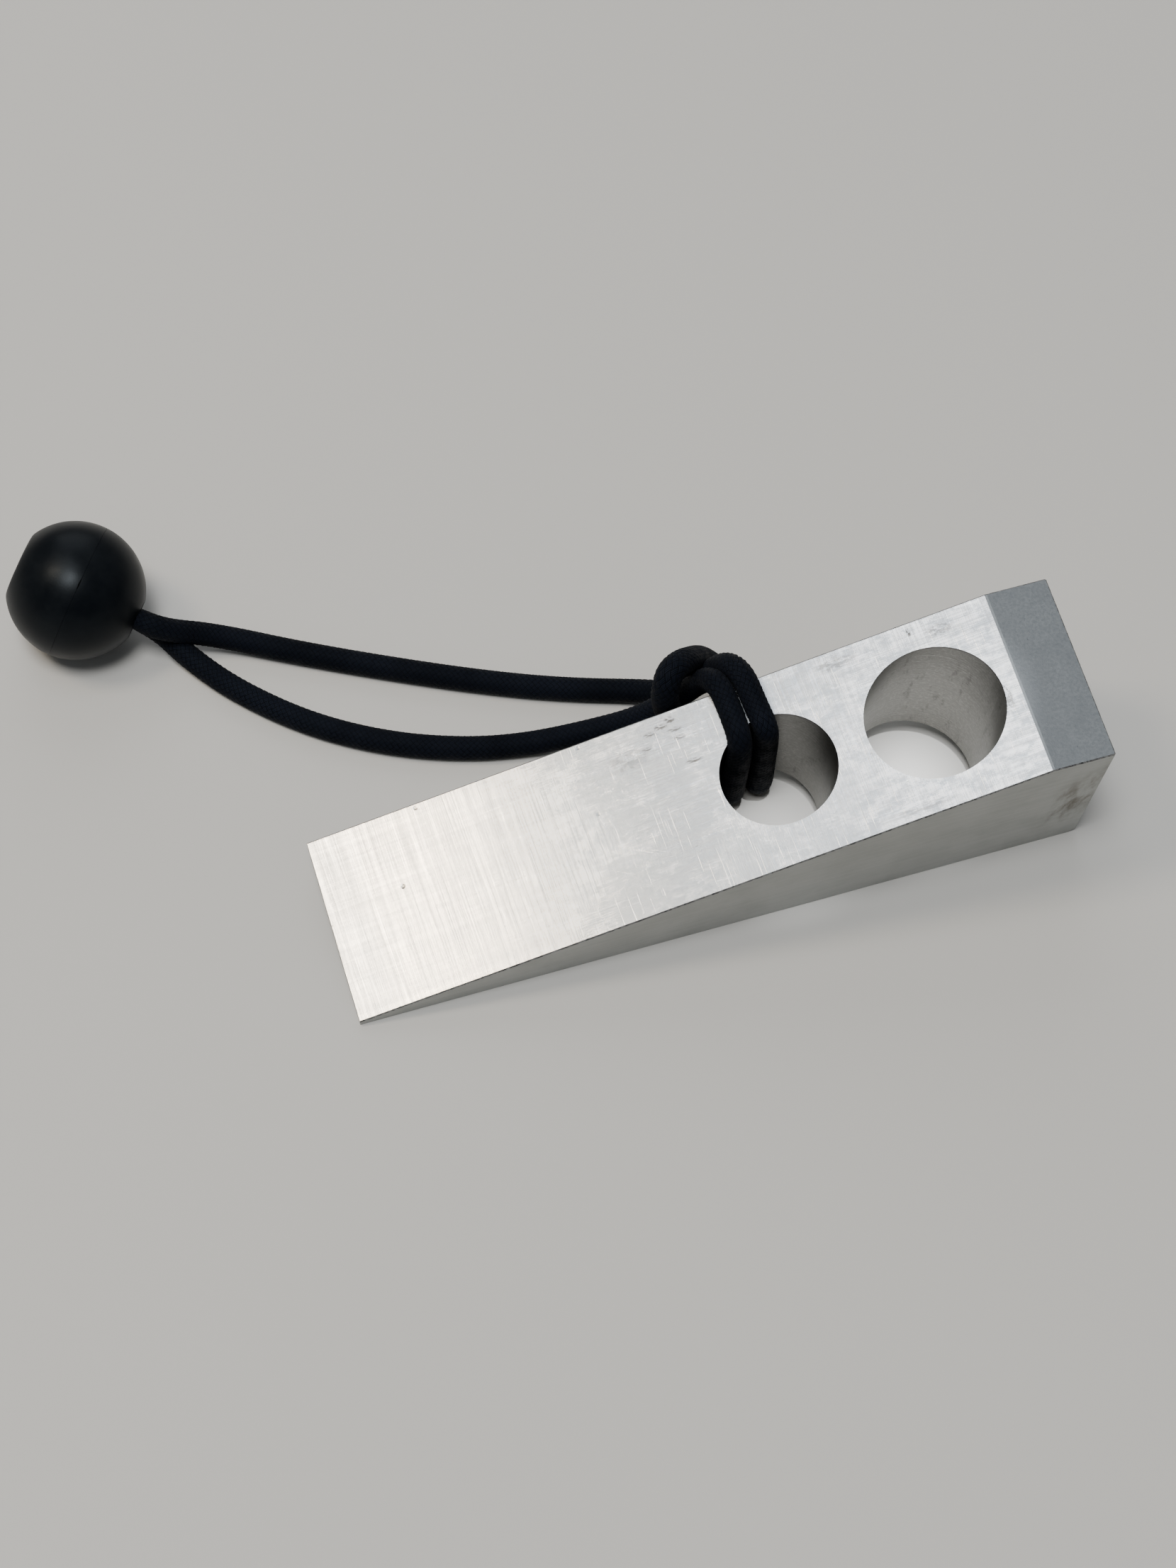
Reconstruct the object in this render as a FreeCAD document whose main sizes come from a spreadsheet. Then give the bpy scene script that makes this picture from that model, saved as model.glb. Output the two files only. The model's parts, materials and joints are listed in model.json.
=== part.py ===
import FreeCAD, Part
# Solid aluminium wedge with two cross bores, and a ball lanyard hitched round the web beside
# the smaller bore.  Millimetres, +Z up, +X from the thin tip to the heel.  The wedge lies rolled
# up on its near lower edge, because two strands of the lanyard pass between it and the surface.
# Origin: the centre of the wedge's footprint, on that surface.
import math
import os

import Sketcher
from FreeCAD import Placement, Rotation, Vector

DOC = FreeCAD.newDocument("wedge_with_lanyard")

# ---------------------------------------------------------------- driving dimensions
DIMENSIONS = [
    ("block_length", 146.8, "tip to heel"),
    ("block_width", 38.1, "across the square bar"),
    ("block_height", 38.1, "base to the flat strip at the heel"),
    ("ramp_length", 134.3, "tip to the kink, along the base"),
    ("tip_thickness", 1.5, "blunt front edge"),
    ("heel_corner_break", 1.6, "chamfer at the lower heel corner"),
    ("edge_break", 0.25, "deburred upper edges"),
    ("large_bore_diameter", 26.3, "bore nearer the heel"),
    ("large_bore_from_tip", 118.0, "its axis, along the base"),
    ("small_bore_diameter", 22.2, "bore that holds the lanyard"),
    ("small_bore_from_tip", 87.7, "its axis, along the base"),
    ("roll_angle", 9.2, "degrees, wedge rolled up on the strands below it"),
    ("cord_diameter", 4.8, "shock cord"),
    ("strand_gap", 0.1, "between the two strands in the ball"),
    ("ball_diameter", 28.0, "lanyard ball"),
    ("ball_flat_depth", 1.7, "cut off the ball by the flat face on the knot side"),
    ("ball_bore_clearance", 0.3, "radial, round the pair of strands"),
    ("knot_diameter", 11.0, "knot of the two cord ends"),
    ("knot_length", 7.5, "along the ball's bore"),
    ("knot_clearance", 0.4, "radial, and behind the knot"),
    ("knot_setback", 1.2, "knot's end below the flat face"),
    ("ball_mouth_round", 0.7, "rounded mouth where the strands leave"),
    ("ball_rim_round", 0.3, "rounded rim of the flat face"),
    ("knot_back_round", 2.5, "rounded end of the knot"),
    ("knot_front_round", 0.5, "where the strands enter the knot"),
    ("web_arc", 3.0, "bend of the cord's centre line where it is pulled round the web"),
    ("ball_centre_x", -103.1, "ball centre from the origin"),
    ("ball_centre_y", 88.3, "ball centre from the origin"),
    ("ball_azimuth", -35.0, "degrees, way the bore points, seen from above"),
    ("ball_dip", 18.0, "degrees, bore points down to the surface"),
]
SHEET = DOC.addObject("Spreadsheet::Sheet", "dims")
for row, (name, value, note) in enumerate(DIMENSIONS, start=1):
    SHEET.set(f"A{row}", name)
    SHEET.set(f"B{row}", str(value))
    SHEET.set(f"C{row}", note)
    SHEET.setAlias(f"B{row}", name)
DOC.recompute()


def dim(name):
    """A driving dimension, as a plain number."""
    return float(getattr(SHEET, name))


def origin_plane(body, role):
    """One of the body's own origin planes."""
    return next(f for f in body.Origin.OriginFeatures if f.Role == role)


def new_body(name):
    """A PartDesign body whose label names its file."""
    body = DOC.addObject("PartDesign::Body", name)
    body.Label = name
    return body


def new_sketch(body, name, role):
    """A sketch on one of the body's own origin planes."""
    sketch = body.newObject("Sketcher::SketchObject", name)
    sketch.AttachmentSupport = [(origin_plane(body, role), "")]
    sketch.MapMode = "FlatFace"
    return sketch


def closed_outline(sketch, points):
    """Straight lines round the points, joined end to end."""
    corners = [Vector(x, y, 0) for x, y in points]
    count = len(corners)
    for i in range(count):
        sketch.addGeometry(Part.LineSegment(corners[i], corners[(i + 1) % count]), False)
    for i in range(count):
        sketch.addConstraint(Sketcher.Constraint("Coincident", i, 2, (i + 1) % count, 1))


def bound_distance(sketch, kind, items, value, alias, expression):
    """A named distance constraint that follows the spreadsheet."""
    index = sketch.addConstraint(Sketcher.Constraint(kind, *items, value))
    sketch.renameConstraint(index, alias)
    sketch.setExpression(f"Constraints.{alias}", expression)


def sketch_rule(kind, *items):
    """A sketch constraint with no value."""
    return Sketcher.Constraint(kind, *items)


# ---------------------------------------------------------------- wedge block
def wedge_block():
    """Square bar, ramped from the heel strip down to the tip, with two bores."""
    length = dim("block_length")
    height = dim("block_height")
    ramp = dim("ramp_length")
    tip = dim("tip_thickness")
    corner = dim("heel_corner_break")
    body = new_body("wedge_block")

    side = new_sketch(body, "wedge_side", "XZ_Plane")
    closed_outline(side, [
        (0, 0), (length - corner, 0), (length, corner), (length, height), (ramp, height), (0, tip),
    ])
    for line in (0, 3):
        side.addConstraint(sketch_rule("Horizontal", line))
    for line in (2, 5):
        side.addConstraint(sketch_rule("Vertical", line))
    side.addConstraint(sketch_rule("Coincident", 0, 1, -1, 1))
    bound_distance(side, "DistanceX", (0, 1, 2, 1), length, "length", "dims.block_length")
    bound_distance(side, "DistanceX", (0, 1, 4, 1), ramp, "ramp", "dims.ramp_length")
    bound_distance(side, "DistanceY", (0, 1, 3, 1), height, "height", "dims.block_height")
    bound_distance(side, "DistanceY", (0, 1, 5, 1), tip, "tip", "dims.tip_thickness")
    bound_distance(side, "DistanceX", (0, 2, 2, 1), corner, "corner_run", "dims.heel_corner_break")
    bound_distance(side, "DistanceY", (0, 2, 1, 2), corner, "corner_rise", "dims.heel_corner_break")

    bar = body.newObject("PartDesign::Pad", "bar")
    bar.Profile = side
    bar.Midplane = True
    bar.setExpression("Length", "dims.block_width")
    DOC.recompute()

    for name in ("large_bore", "small_bore"):
        cross = new_sketch(body, f"{name}_circle", "XY_Plane")
        cross.addGeometry(Part.Circle(Vector(dim(f"{name}_from_tip"), 0, 0), Vector(0, 0, 1),
                                      dim(f"{name}_diameter") / 2), False)
        bound_distance(cross, "DistanceX", (-1, 1, 0, 3), dim(f"{name}_from_tip"), "from_tip",
                       f"dims.{name}_from_tip")
        cross.addConstraint(sketch_rule("PointOnObject", 0, 3, -1))
        bound_distance(cross, "Diameter", (0,), dim(f"{name}_diameter"), "bore",
                       f"dims.{name}_diameter")
        drilled = body.newObject("PartDesign::Pocket", name)
        drilled.Profile = cross
        drilled.Type = "ThroughAll"
        drilled.Midplane = True
        DOC.recompute()

    drilled_block = body.Tip
    upper = []
    for index, edge in enumerate(drilled_block.Shape.Edges, start=1):
        low = min(vertex.Z for vertex in edge.Vertexes)
        high = max(vertex.Z for vertex in edge.Vertexes)
        straight = edge.Curve.TypeId == "Part::GeomLine"
        if straight and high > height / 2 and low > tip / 2:
            upper.append(f"Edge{index}")
    broken = body.newObject("PartDesign::Chamfer", "deburred_edges")
    broken.Base = (drilled_block, upper)
    broken.setExpression("Size", "dims.edge_break")
    body.Tip = broken

    width_run = "dims.block_width * cos(dims.roll_angle) - dims.block_height * sin(dims.roll_angle)"
    half_width = "dims.block_width / 2"
    roll = dim("roll_angle")
    body.Placement = Placement(Vector(), Rotation(Vector(1, 0, 0), roll))
    body.setExpression("Placement.Base.x", "-dims.block_length / 2")
    body.setExpression("Placement.Base.y",
                       f"{half_width} * cos(dims.roll_angle) - ({width_run}) / 2")
    body.setExpression("Placement.Base.z", f"{half_width} * sin(dims.roll_angle)")
    body.setExpression("Placement.Rotation.Angle", "dims.roll_angle")
    return body


# ---------------------------------------------------------------- ball and knot
def bore_direction():
    """Way the ball's bore points, out of the mouth where the strands leave."""
    azimuth = math.radians(dim("ball_azimuth"))
    dip = math.radians(dim("ball_dip"))
    return Vector(math.cos(dip) * math.cos(azimuth), math.cos(dip) * math.sin(azimuth),
                  -math.sin(dip))


def place_on_bore(body):
    """Turn a body's own Z onto the ball's bore, at the ball's centre."""
    body.Placement = Placement(Vector(), Rotation(Vector(0, 0, 1), bore_direction()))
    body.setExpression("Placement.Base.x", "dims.ball_centre_x")
    body.setExpression("Placement.Base.y", "dims.ball_centre_y")
    body.setExpression("Placement.Base.z", "dims.ball_diameter / 2")


BORE_RADIUS = "(dims.cord_diameter + dims.strand_gap / 2 + dims.ball_bore_clearance)"
RECESS_RADIUS = "(dims.knot_diameter / 2 + dims.knot_clearance)"
FLAT_FROM_CENTRE = "(dims.ball_diameter / 2 - dims.ball_flat_depth)"
RECESS_FLOOR = (f"({FLAT_FROM_CENTRE} - dims.knot_setback - dims.knot_length"
                " - dims.knot_clearance)")


def flat_from_centre():
    """Distance of the flat face from the ball's centre."""
    return dim("ball_diameter") / 2 - dim("ball_flat_depth")


def lanyard_ball():
    """Ball with a flat, a recess for the knot behind it, and a bore for both strands."""
    radius = dim("ball_diameter") / 2
    flat = flat_from_centre()
    bore = dim("cord_diameter") + dim("strand_gap") / 2 + dim("ball_bore_clearance")
    recess = dim("knot_diameter") / 2 + dim("knot_clearance")
    floor = flat - dim("knot_setback") - dim("knot_length") - dim("knot_clearance")
    mouth = math.sqrt(radius ** 2 - bore ** 2)
    rim = math.sqrt(radius ** 2 - flat ** 2)
    body = new_body("ball")

    half = new_sketch(body, "ball_half_section", "XZ_Plane")
    half.addGeometry(Part.ArcOfCircle(Part.Circle(Vector(), Vector(0, 0, 1), radius),
                                      math.atan2(-flat, rim), math.atan2(mouth, bore)), False)
    corners = [(bore, mouth), (bore, -floor), (recess, -floor), (recess, -flat), (rim, -flat)]
    for (x0, y0), (x1, y1) in zip(corners[:-1], corners[1:]):
        half.addGeometry(Part.LineSegment(Vector(x0, y0, 0), Vector(x1, y1, 0)), False)
    half.addConstraint(sketch_rule("Coincident", 0, 3, -1, 1))
    half.addConstraint(sketch_rule("Coincident", 0, 2, 1, 1))
    for line in (1, 2, 3):
        half.addConstraint(sketch_rule("Coincident", line, 2, line + 1, 1))
    half.addConstraint(sketch_rule("Coincident", 4, 2, 0, 1))
    for line in (1, 3):
        half.addConstraint(sketch_rule("Vertical", line))
    for line in (2, 4):
        half.addConstraint(sketch_rule("Horizontal", line))
    bound_distance(half, "Radius", (0,), radius, "ball", "dims.ball_diameter / 2")
    bound_distance(half, "DistanceX", (-1, 1, 1, 1), bore, "bore", BORE_RADIUS)
    bound_distance(half, "DistanceX", (-1, 1, 3, 1), recess, "recess", RECESS_RADIUS)
    bound_distance(half, "DistanceY", (2, 1, -1, 1), floor, "floor", RECESS_FLOOR)
    bound_distance(half, "DistanceY", (4, 1, -1, 1), flat, "flat", FLAT_FROM_CENTRE)

    turned = body.newObject("PartDesign::Revolution", "turned_ball")
    turned.Profile = half
    turned.ReferenceAxis = (half, ["V_Axis"])
    DOC.recompute()
    round_circle(body, "ball_mouth_round", bore, mouth)
    round_circle(body, "ball_rim_round", rim, -flat)
    place_on_bore(body)
    return body


def round_circle(body, size, radius, height):
    """Fillet the circular edge of this radius at this height of the body."""
    base = body.Tip
    edges = [f"Edge{index}" for index, edge in enumerate(base.Shape.Edges, start=1)
             if edge.Curve.TypeId == "Part::GeomCircle"
             and abs(edge.Curve.Radius - radius) < 0.01
             and abs(edge.BoundBox.ZMin - height) < 0.01 and abs(edge.BoundBox.ZMax - height) < 0.01]
    fillet = body.newObject("PartDesign::Fillet", size)
    fillet.Base = (base, edges)
    fillet.setExpression("Radius", f"dims.{size}")
    body.Tip = fillet
    DOC.recompute()


def end_knot():
    """The two cord ends, knotted together in the ball's recess, as one plain closed solid."""
    body = new_body("end_knot")
    core = body.newObject("PartDesign::AdditiveCylinder", "knot_core")
    core.setExpression("Radius", "dims.knot_diameter / 2")
    core.setExpression("Height", "dims.knot_length")
    core.setExpression("Placement.Base.z", f"dims.knot_setback - {FLAT_FROM_CENTRE}")
    DOC.recompute()
    body.Tip = core
    radius = dim("knot_diameter") / 2
    back = dim("knot_setback") - flat_from_centre()
    round_circle(body, "knot_back_round", radius, back)
    round_circle(body, "knot_front_round", radius, back + dim("knot_length"))
    place_on_bore(body)
    return body


# ---------------------------------------------------------------- cord
# Route of the cord's centre line, chosen by hand: from the knot, out of the ball and along the
# surface, up over the web, down the small bore, under the web, round both strands as the hitch's
# bight, back the same way, and home to the knot.  TIGHT marks where it is pulled round the web.
TIGHT = True
ROUTE = [
    (-91.3, 81.4, 7.1), (-86.1, 74.0, 2.4), (-76.9, 62.8, 2.4), (-65.1, 51.0, 2.4),
    (-51.4, 42.1, 2.4), (-37.4, 36.4, 2.4), (-25.4, 33.8, 2.5), (-13.4, 31.6, 4.5),
    (-1.9, 29.1, 10.5), (5.4, 27.1, 20.0),
    (8.3, 20.3, 33.6, TIGHT), (9.7, 6.2, 30.9, TIGHT),
    (11.5, 11.5, 2.0, TIGHT), (9.4, 25.2, 4.2, TIGHT),
    (-1.0, 22.1, 22.3), (-1.2, 21.5, 32.6), (3.6, 25.5, 33.2),
    (9.4, 32.9, 22.2), (15.7, 34.7, 11.2),
    (18.2, 25.2, 4.2, TIGHT), (17.0, 11.5, 2.0, TIGHT),
    (14.6, 6.8, 32.4, TIGHT), (13.4, 20.1, 34.8, TIGHT),
    (9.2, 30.3, 15.4), (3.6, 37.8, 3.0), (-10.9, 43.1, 2.4), (-23.4, 48.2, 2.4),
    (-39.4, 55.8, 2.4), (-61.1, 67.4, 2.4), (-76.6, 77.1, 4.0), (-91.7, 78.6, 11.8),
]
RUN_SHARE = 0.45


def knot_ends():
    """Where the two strands meet the knot's front face, lower strand first."""
    aim = bore_direction()
    level = Vector(0, 0, 1).cross(aim).normalize()
    side = aim.cross(level)
    centre = Vector(dim("ball_centre_x"), dim("ball_centre_y"), dim("ball_diameter") / 2)
    front = flat_from_centre() - dim("knot_setback") - dim("knot_length")
    offset = (dim("cord_diameter") + dim("strand_gap")) / 2
    face = centre - aim * front
    return face - side * offset, face + side * offset


def cord_path(points, tight, web_arc):
    """Straight runs joined by tangent arcs, as wide as their runs allow, tight at the web."""
    edges = []
    start = points[0]
    for index in range(1, len(points) - 1):
        before, corner, after = points[index - 1:index + 2]
        inward = (corner - before).normalize()
        outward = (after - corner).normalize()
        turn = inward.getAngle(outward)
        run = min((corner - before).Length, (after - corner).Length)
        radius = RUN_SHARE * run / math.tan(turn / 2)
        if index in tight:
            radius = min(radius, web_arc)
        cut = radius * math.tan(turn / 2)
        arc_start = corner - inward * cut
        arc_end = corner + outward * cut
        inside = (outward - inward).normalize()
        middle = corner + inside * (radius / math.cos(turn / 2) - radius)
        edges.append(Part.LineSegment(start, arc_start).toShape())
        edges.append(Part.Arc(arc_start, middle, arc_end).toShape())
        print(f"cord bend radius {radius:6.1f} mm, turn {math.degrees(turn):5.1f} degrees")
        start = arc_end
    edges.append(Part.LineSegment(start, points[-1]).toShape())
    return Part.Wire(edges)


def lanyard_cord():
    """One round cord, both ends in the knot."""
    first, last = knot_ends()
    points = [first] + [Vector(*point[:3]) for point in ROUTE] + [last]
    tight = [index for index, point in enumerate(ROUTE, start=1) if point[3:] == (TIGHT,)]
    path = cord_path(points, tight, dim("web_arc"))
    radius = dim("cord_diameter") / 2
    section = Part.Wire(Part.Circle(points[0], points[1] - points[0], radius).toShape())
    tube = path.makePipeShell([section], True, False)
    expected = math.pi * radius ** 2 * path.Length
    print(f"cord length {path.Length:.1f} mm, volume {tube.Volume:.0f} for {expected:.0f} mm3")
    cord = DOC.addObject("Part::Feature", "cord")
    cord.Label = "cord"
    cord.Shape = tube
    cord.Placement = Placement()
    return cord


def check(parts):
    """Stop if any object failed or any sub-part is empty or not valid."""
    for item in DOC.Objects:
        if "Invalid" in item.State or "Error" in item.State:
            raise RuntimeError(f"{item.Name} failed: {item.State}")
    for part in parts:
        shape = part.Shape
        if shape.isNull() or not shape.isValid() or len(shape.Solids) != 1:
            raise RuntimeError(f"{part.Label} is not one valid solid")


PARTS = [wedge_block(), lanyard_ball(), end_knot(), lanyard_cord()]
DOC.recompute()
check(PARTS)
os.makedirs("parts", exist_ok=True)
for sub_part in PARTS:
    sub_part.Shape.exportStep(os.path.join("parts", f"{sub_part.Label}.step"))
    box = sub_part.Shape.BoundBox
    print(sub_part.Label, f"volume {sub_part.Shape.Volume:.0f} mm3,",
          f"x {box.XMin:.2f} {box.XMax:.2f}, y {box.YMin:.2f} {box.YMax:.2f},",
          f"z {box.ZMin:.2f} {box.ZMax:.2f}")
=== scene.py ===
"""Looks of an aluminium driving wedge with a ball lanyard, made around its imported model.

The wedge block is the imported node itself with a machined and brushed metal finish.  The cord is a
braided sleeve along one smooth line, the ball is a moulded rubber ball with its bore, recess and
parting line, and the knot of the cord's two ends fills the recess.
"""

from __future__ import annotations

import json
import logging
import math
from dataclasses import dataclass, field
from enum import Enum

import bpy
import numpy as np
from mathutils import Matrix, Quaternion, Vector


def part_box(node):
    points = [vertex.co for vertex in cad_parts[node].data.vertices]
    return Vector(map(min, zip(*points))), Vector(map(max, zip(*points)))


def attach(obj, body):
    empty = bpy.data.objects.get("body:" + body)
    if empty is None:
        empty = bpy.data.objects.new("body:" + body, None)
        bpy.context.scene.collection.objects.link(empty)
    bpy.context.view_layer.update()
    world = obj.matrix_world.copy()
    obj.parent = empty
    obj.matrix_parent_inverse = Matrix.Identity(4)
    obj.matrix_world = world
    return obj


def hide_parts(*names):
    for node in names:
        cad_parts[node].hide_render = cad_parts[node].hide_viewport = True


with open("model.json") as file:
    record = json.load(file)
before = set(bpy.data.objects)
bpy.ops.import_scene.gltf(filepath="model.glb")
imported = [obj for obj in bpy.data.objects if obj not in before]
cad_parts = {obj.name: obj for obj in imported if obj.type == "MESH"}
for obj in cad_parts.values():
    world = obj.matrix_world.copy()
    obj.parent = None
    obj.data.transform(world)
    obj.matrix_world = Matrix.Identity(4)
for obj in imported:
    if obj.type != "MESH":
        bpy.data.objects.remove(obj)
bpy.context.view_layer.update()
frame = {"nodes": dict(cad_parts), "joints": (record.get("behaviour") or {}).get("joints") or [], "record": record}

MM = 0.001
SPLINE_STEPS = 24
LOG = logging.getLogger("wedge")
Colour = tuple[float, float, float]
Point = tuple[float, float, float]
Socket = bpy.types.NodeSocket


# ------------------------------------------------------------------ small helpers
def deselect_all() -> None:
    """Leave nothing selected, so that an operator acts only on what is picked next."""
    if bpy.context.object and bpy.context.object.mode != "OBJECT":
        bpy.ops.object.mode_set(mode="OBJECT")
    bpy.ops.object.select_all(action="DESELECT")


def select_only(piece: bpy.types.Object) -> None:
    """Make one object the only one selected, and active."""
    deselect_all()
    piece.select_set(True)
    bpy.context.view_layer.objects.active = piece


def place_in_mesh(piece: bpy.types.Object, where: Matrix) -> None:
    """Move a piece by its mesh, so that the object stays at the origin."""
    piece.data.transform(where @ piece.matrix_world)
    piece.matrix_world = Matrix.Identity(4)
    piece.data.update()


def close_and_face_out(piece: bpy.types.Object) -> None:
    """Merge doubles and turn every face outwards.

    Args:
        piece: the mesh object to mend.
    """
    select_only(piece)
    bpy.ops.object.mode_set(mode="EDIT")
    bpy.ops.mesh.select_all(action="SELECT")
    bpy.ops.mesh.remove_doubles(threshold=0.000002)
    bpy.ops.mesh.normals_make_consistent(inside=False)
    bpy.ops.object.mode_set(mode="OBJECT")


class NodeBench:
    """A node tree being laid out, with short calls to add and join its nodes."""

    def __init__(self, tree: bpy.types.NodeTree) -> None:
        """Start from an empty tree.

        Args:
            tree: the material's or group's tree.
        """
        self.tree = tree
        tree.nodes.clear()

    def add(self, kind: str, settings: dict | None = None, **inputs: object) -> bpy.types.Node:
        """Add a node, set its properties, and fill or link its inputs.

        Args:
            kind: the node's type name, without "ShaderNode".
            settings: properties of the node.
            **inputs: values or sockets for its inputs; a name like i0 picks an input by place.

        Returns:
            The new node.
        """
        prefix = "" if kind.startswith("NodeGroup") else "ShaderNode"
        node = self.tree.nodes.new(prefix + kind)
        for key, value in (settings or {}).items():
            setattr(node, key, value)
        for key, value in inputs.items():
            by_place = key[0] == "i" and key[1:].isdigit()
            self.feed(node.inputs[int(key[1:]) if by_place else key.replace("_", " ")], value)
        return node

    def feed(self, socket: bpy.types.NodeSocket, value: object) -> None:
        """Link a socket or a node's first output into an input, or set a plain value.

        Args:
            socket: the input.
            value: a socket, a node, or a plain value.
        """
        if isinstance(value, bpy.types.NodeSocket):
            self.tree.links.new(value, socket)
        elif isinstance(value, bpy.types.Node):
            self.tree.links.new(value.outputs[0], socket)
        elif isinstance(value, tuple) and len(value) == 3 and socket.type == "RGBA":
            socket.default_value = (*value, 1.0)
        else:
            socket.default_value = value

    def math(self, operation: str, *values: object) -> bpy.types.NodeSocket:
        """One Math node.

        Args:
            operation: what it works out.
            *values: its inputs, in order.

        Returns:
            Its output.
        """
        node = self.add("Math", {"operation": operation})
        for socket, value in zip(node.inputs, values):
            self.feed(socket, value)
        return node.outputs[0]

    def span(self, value: object, low: float, high: float, to_low: float = 0.0,
             to_high: float = 1.0) -> bpy.types.NodeSocket:
        """Stretch a value from one range to another, held at both ends.

        Args:
            value: what is stretched.
            low: where the first range starts.
            high: where it ends.
            to_low: where the second range starts.
            to_high: where it ends.

        Returns:
            The stretched value.
        """
        node = self.add("MapRange", {"interpolation_type": "SMOOTHSTEP"}, Value=value)
        ends = {"From Min": low, "From Max": high, "To Min": to_low, "To Max": to_high}
        for name, end in ends.items():
            self.feed(node.inputs[name], end)
        return node.outputs[0]

    def mix(self, share: object, first: object, second: object) -> bpy.types.NodeSocket:
        """Blend two colours.

        Args:
            share: how much of the second colour, 0 to 1.
            first: the first colour.
            second: the second colour.

        Returns:
            The blended colour.
        """
        node = self.add("Mix", {"data_type": "RGBA"})
        self.feed(node.inputs[0], share)
        self.feed(node.inputs[6], first)
        self.feed(node.inputs[7], second)
        return node.outputs[2]

    def blend(self, share: object, first: object, second: object) -> bpy.types.NodeSocket:
        """Blend two numbers.

        Args:
            share: how much of the second number, 0 to 1.
            first: the first number.
            second: the second number.

        Returns:
            The blended number.
        """
        node = self.add("Mix", {"data_type": "FLOAT"})
        self.feed(node.inputs[0], share)
        self.feed(node.inputs[2], first)
        self.feed(node.inputs[3], second)
        return node.outputs[0]

    def stretched(self, vector: object, scale: Point, turn: float = 0.0) -> bpy.types.NodeSocket:
        """Scale a vector along each axis, after a turn about Z.

        Args:
            vector: what is scaled.
            scale: the scale along each axis.
            turn: the turn, in degrees.

        Returns:
            The scaled vector.
        """
        node = self.add("Mapping", {"vector_type": "POINT"}, Vector=vector)
        node.inputs["Rotation"].default_value = (0.0, 0.0, math.radians(turn))
        if turn:
            node.inputs["Scale"].default_value = (1.0, 1.0, 1.0)
            node = self.add("Mapping", {"vector_type": "POINT"}, Vector=node)
        node.inputs["Scale"].default_value = scale
        return node.outputs[0]

    def noise(self, vector: object, scale: float, detail: float = 3.0,
              rough: float = 0.5) -> bpy.types.NodeSocket:
        """A noise value from 0 to 1."""
        node = self.add("TexNoise", Vector=vector, Scale=scale, Detail=detail, Roughness=rough)
        return node.outputs[0]


@dataclass(frozen=True)
class GroupSocket:
    """One named input or output of a shared effect."""

    name: str
    kind: str = "NodeSocketFloat"
    start: float | None = None


def new_group(name: str, inputs: list[GroupSocket], outputs: list[GroupSocket],
              ) -> tuple[NodeBench, bpy.types.Node, bpy.types.Node]:
    """Make an empty node group.

    Args:
        name: the effect's name.
        inputs: its inputs.
        outputs: its outputs.

    Returns:
        The bench to build it on, its input node and its output node.
    """
    tree = bpy.data.node_groups.new(name, "ShaderNodeTree")
    bench = NodeBench(tree)
    for sockets, way in ((inputs, "INPUT"), (outputs, "OUTPUT")):
        for socket in sockets:
            made = tree.interface.new_socket(socket.name, in_out=way, socket_type=socket.kind)
            if socket.start is not None:
                made.default_value = socket.start
    return bench, bench.add("NodeGroupInput"), bench.add("NodeGroupOutput")


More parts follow.
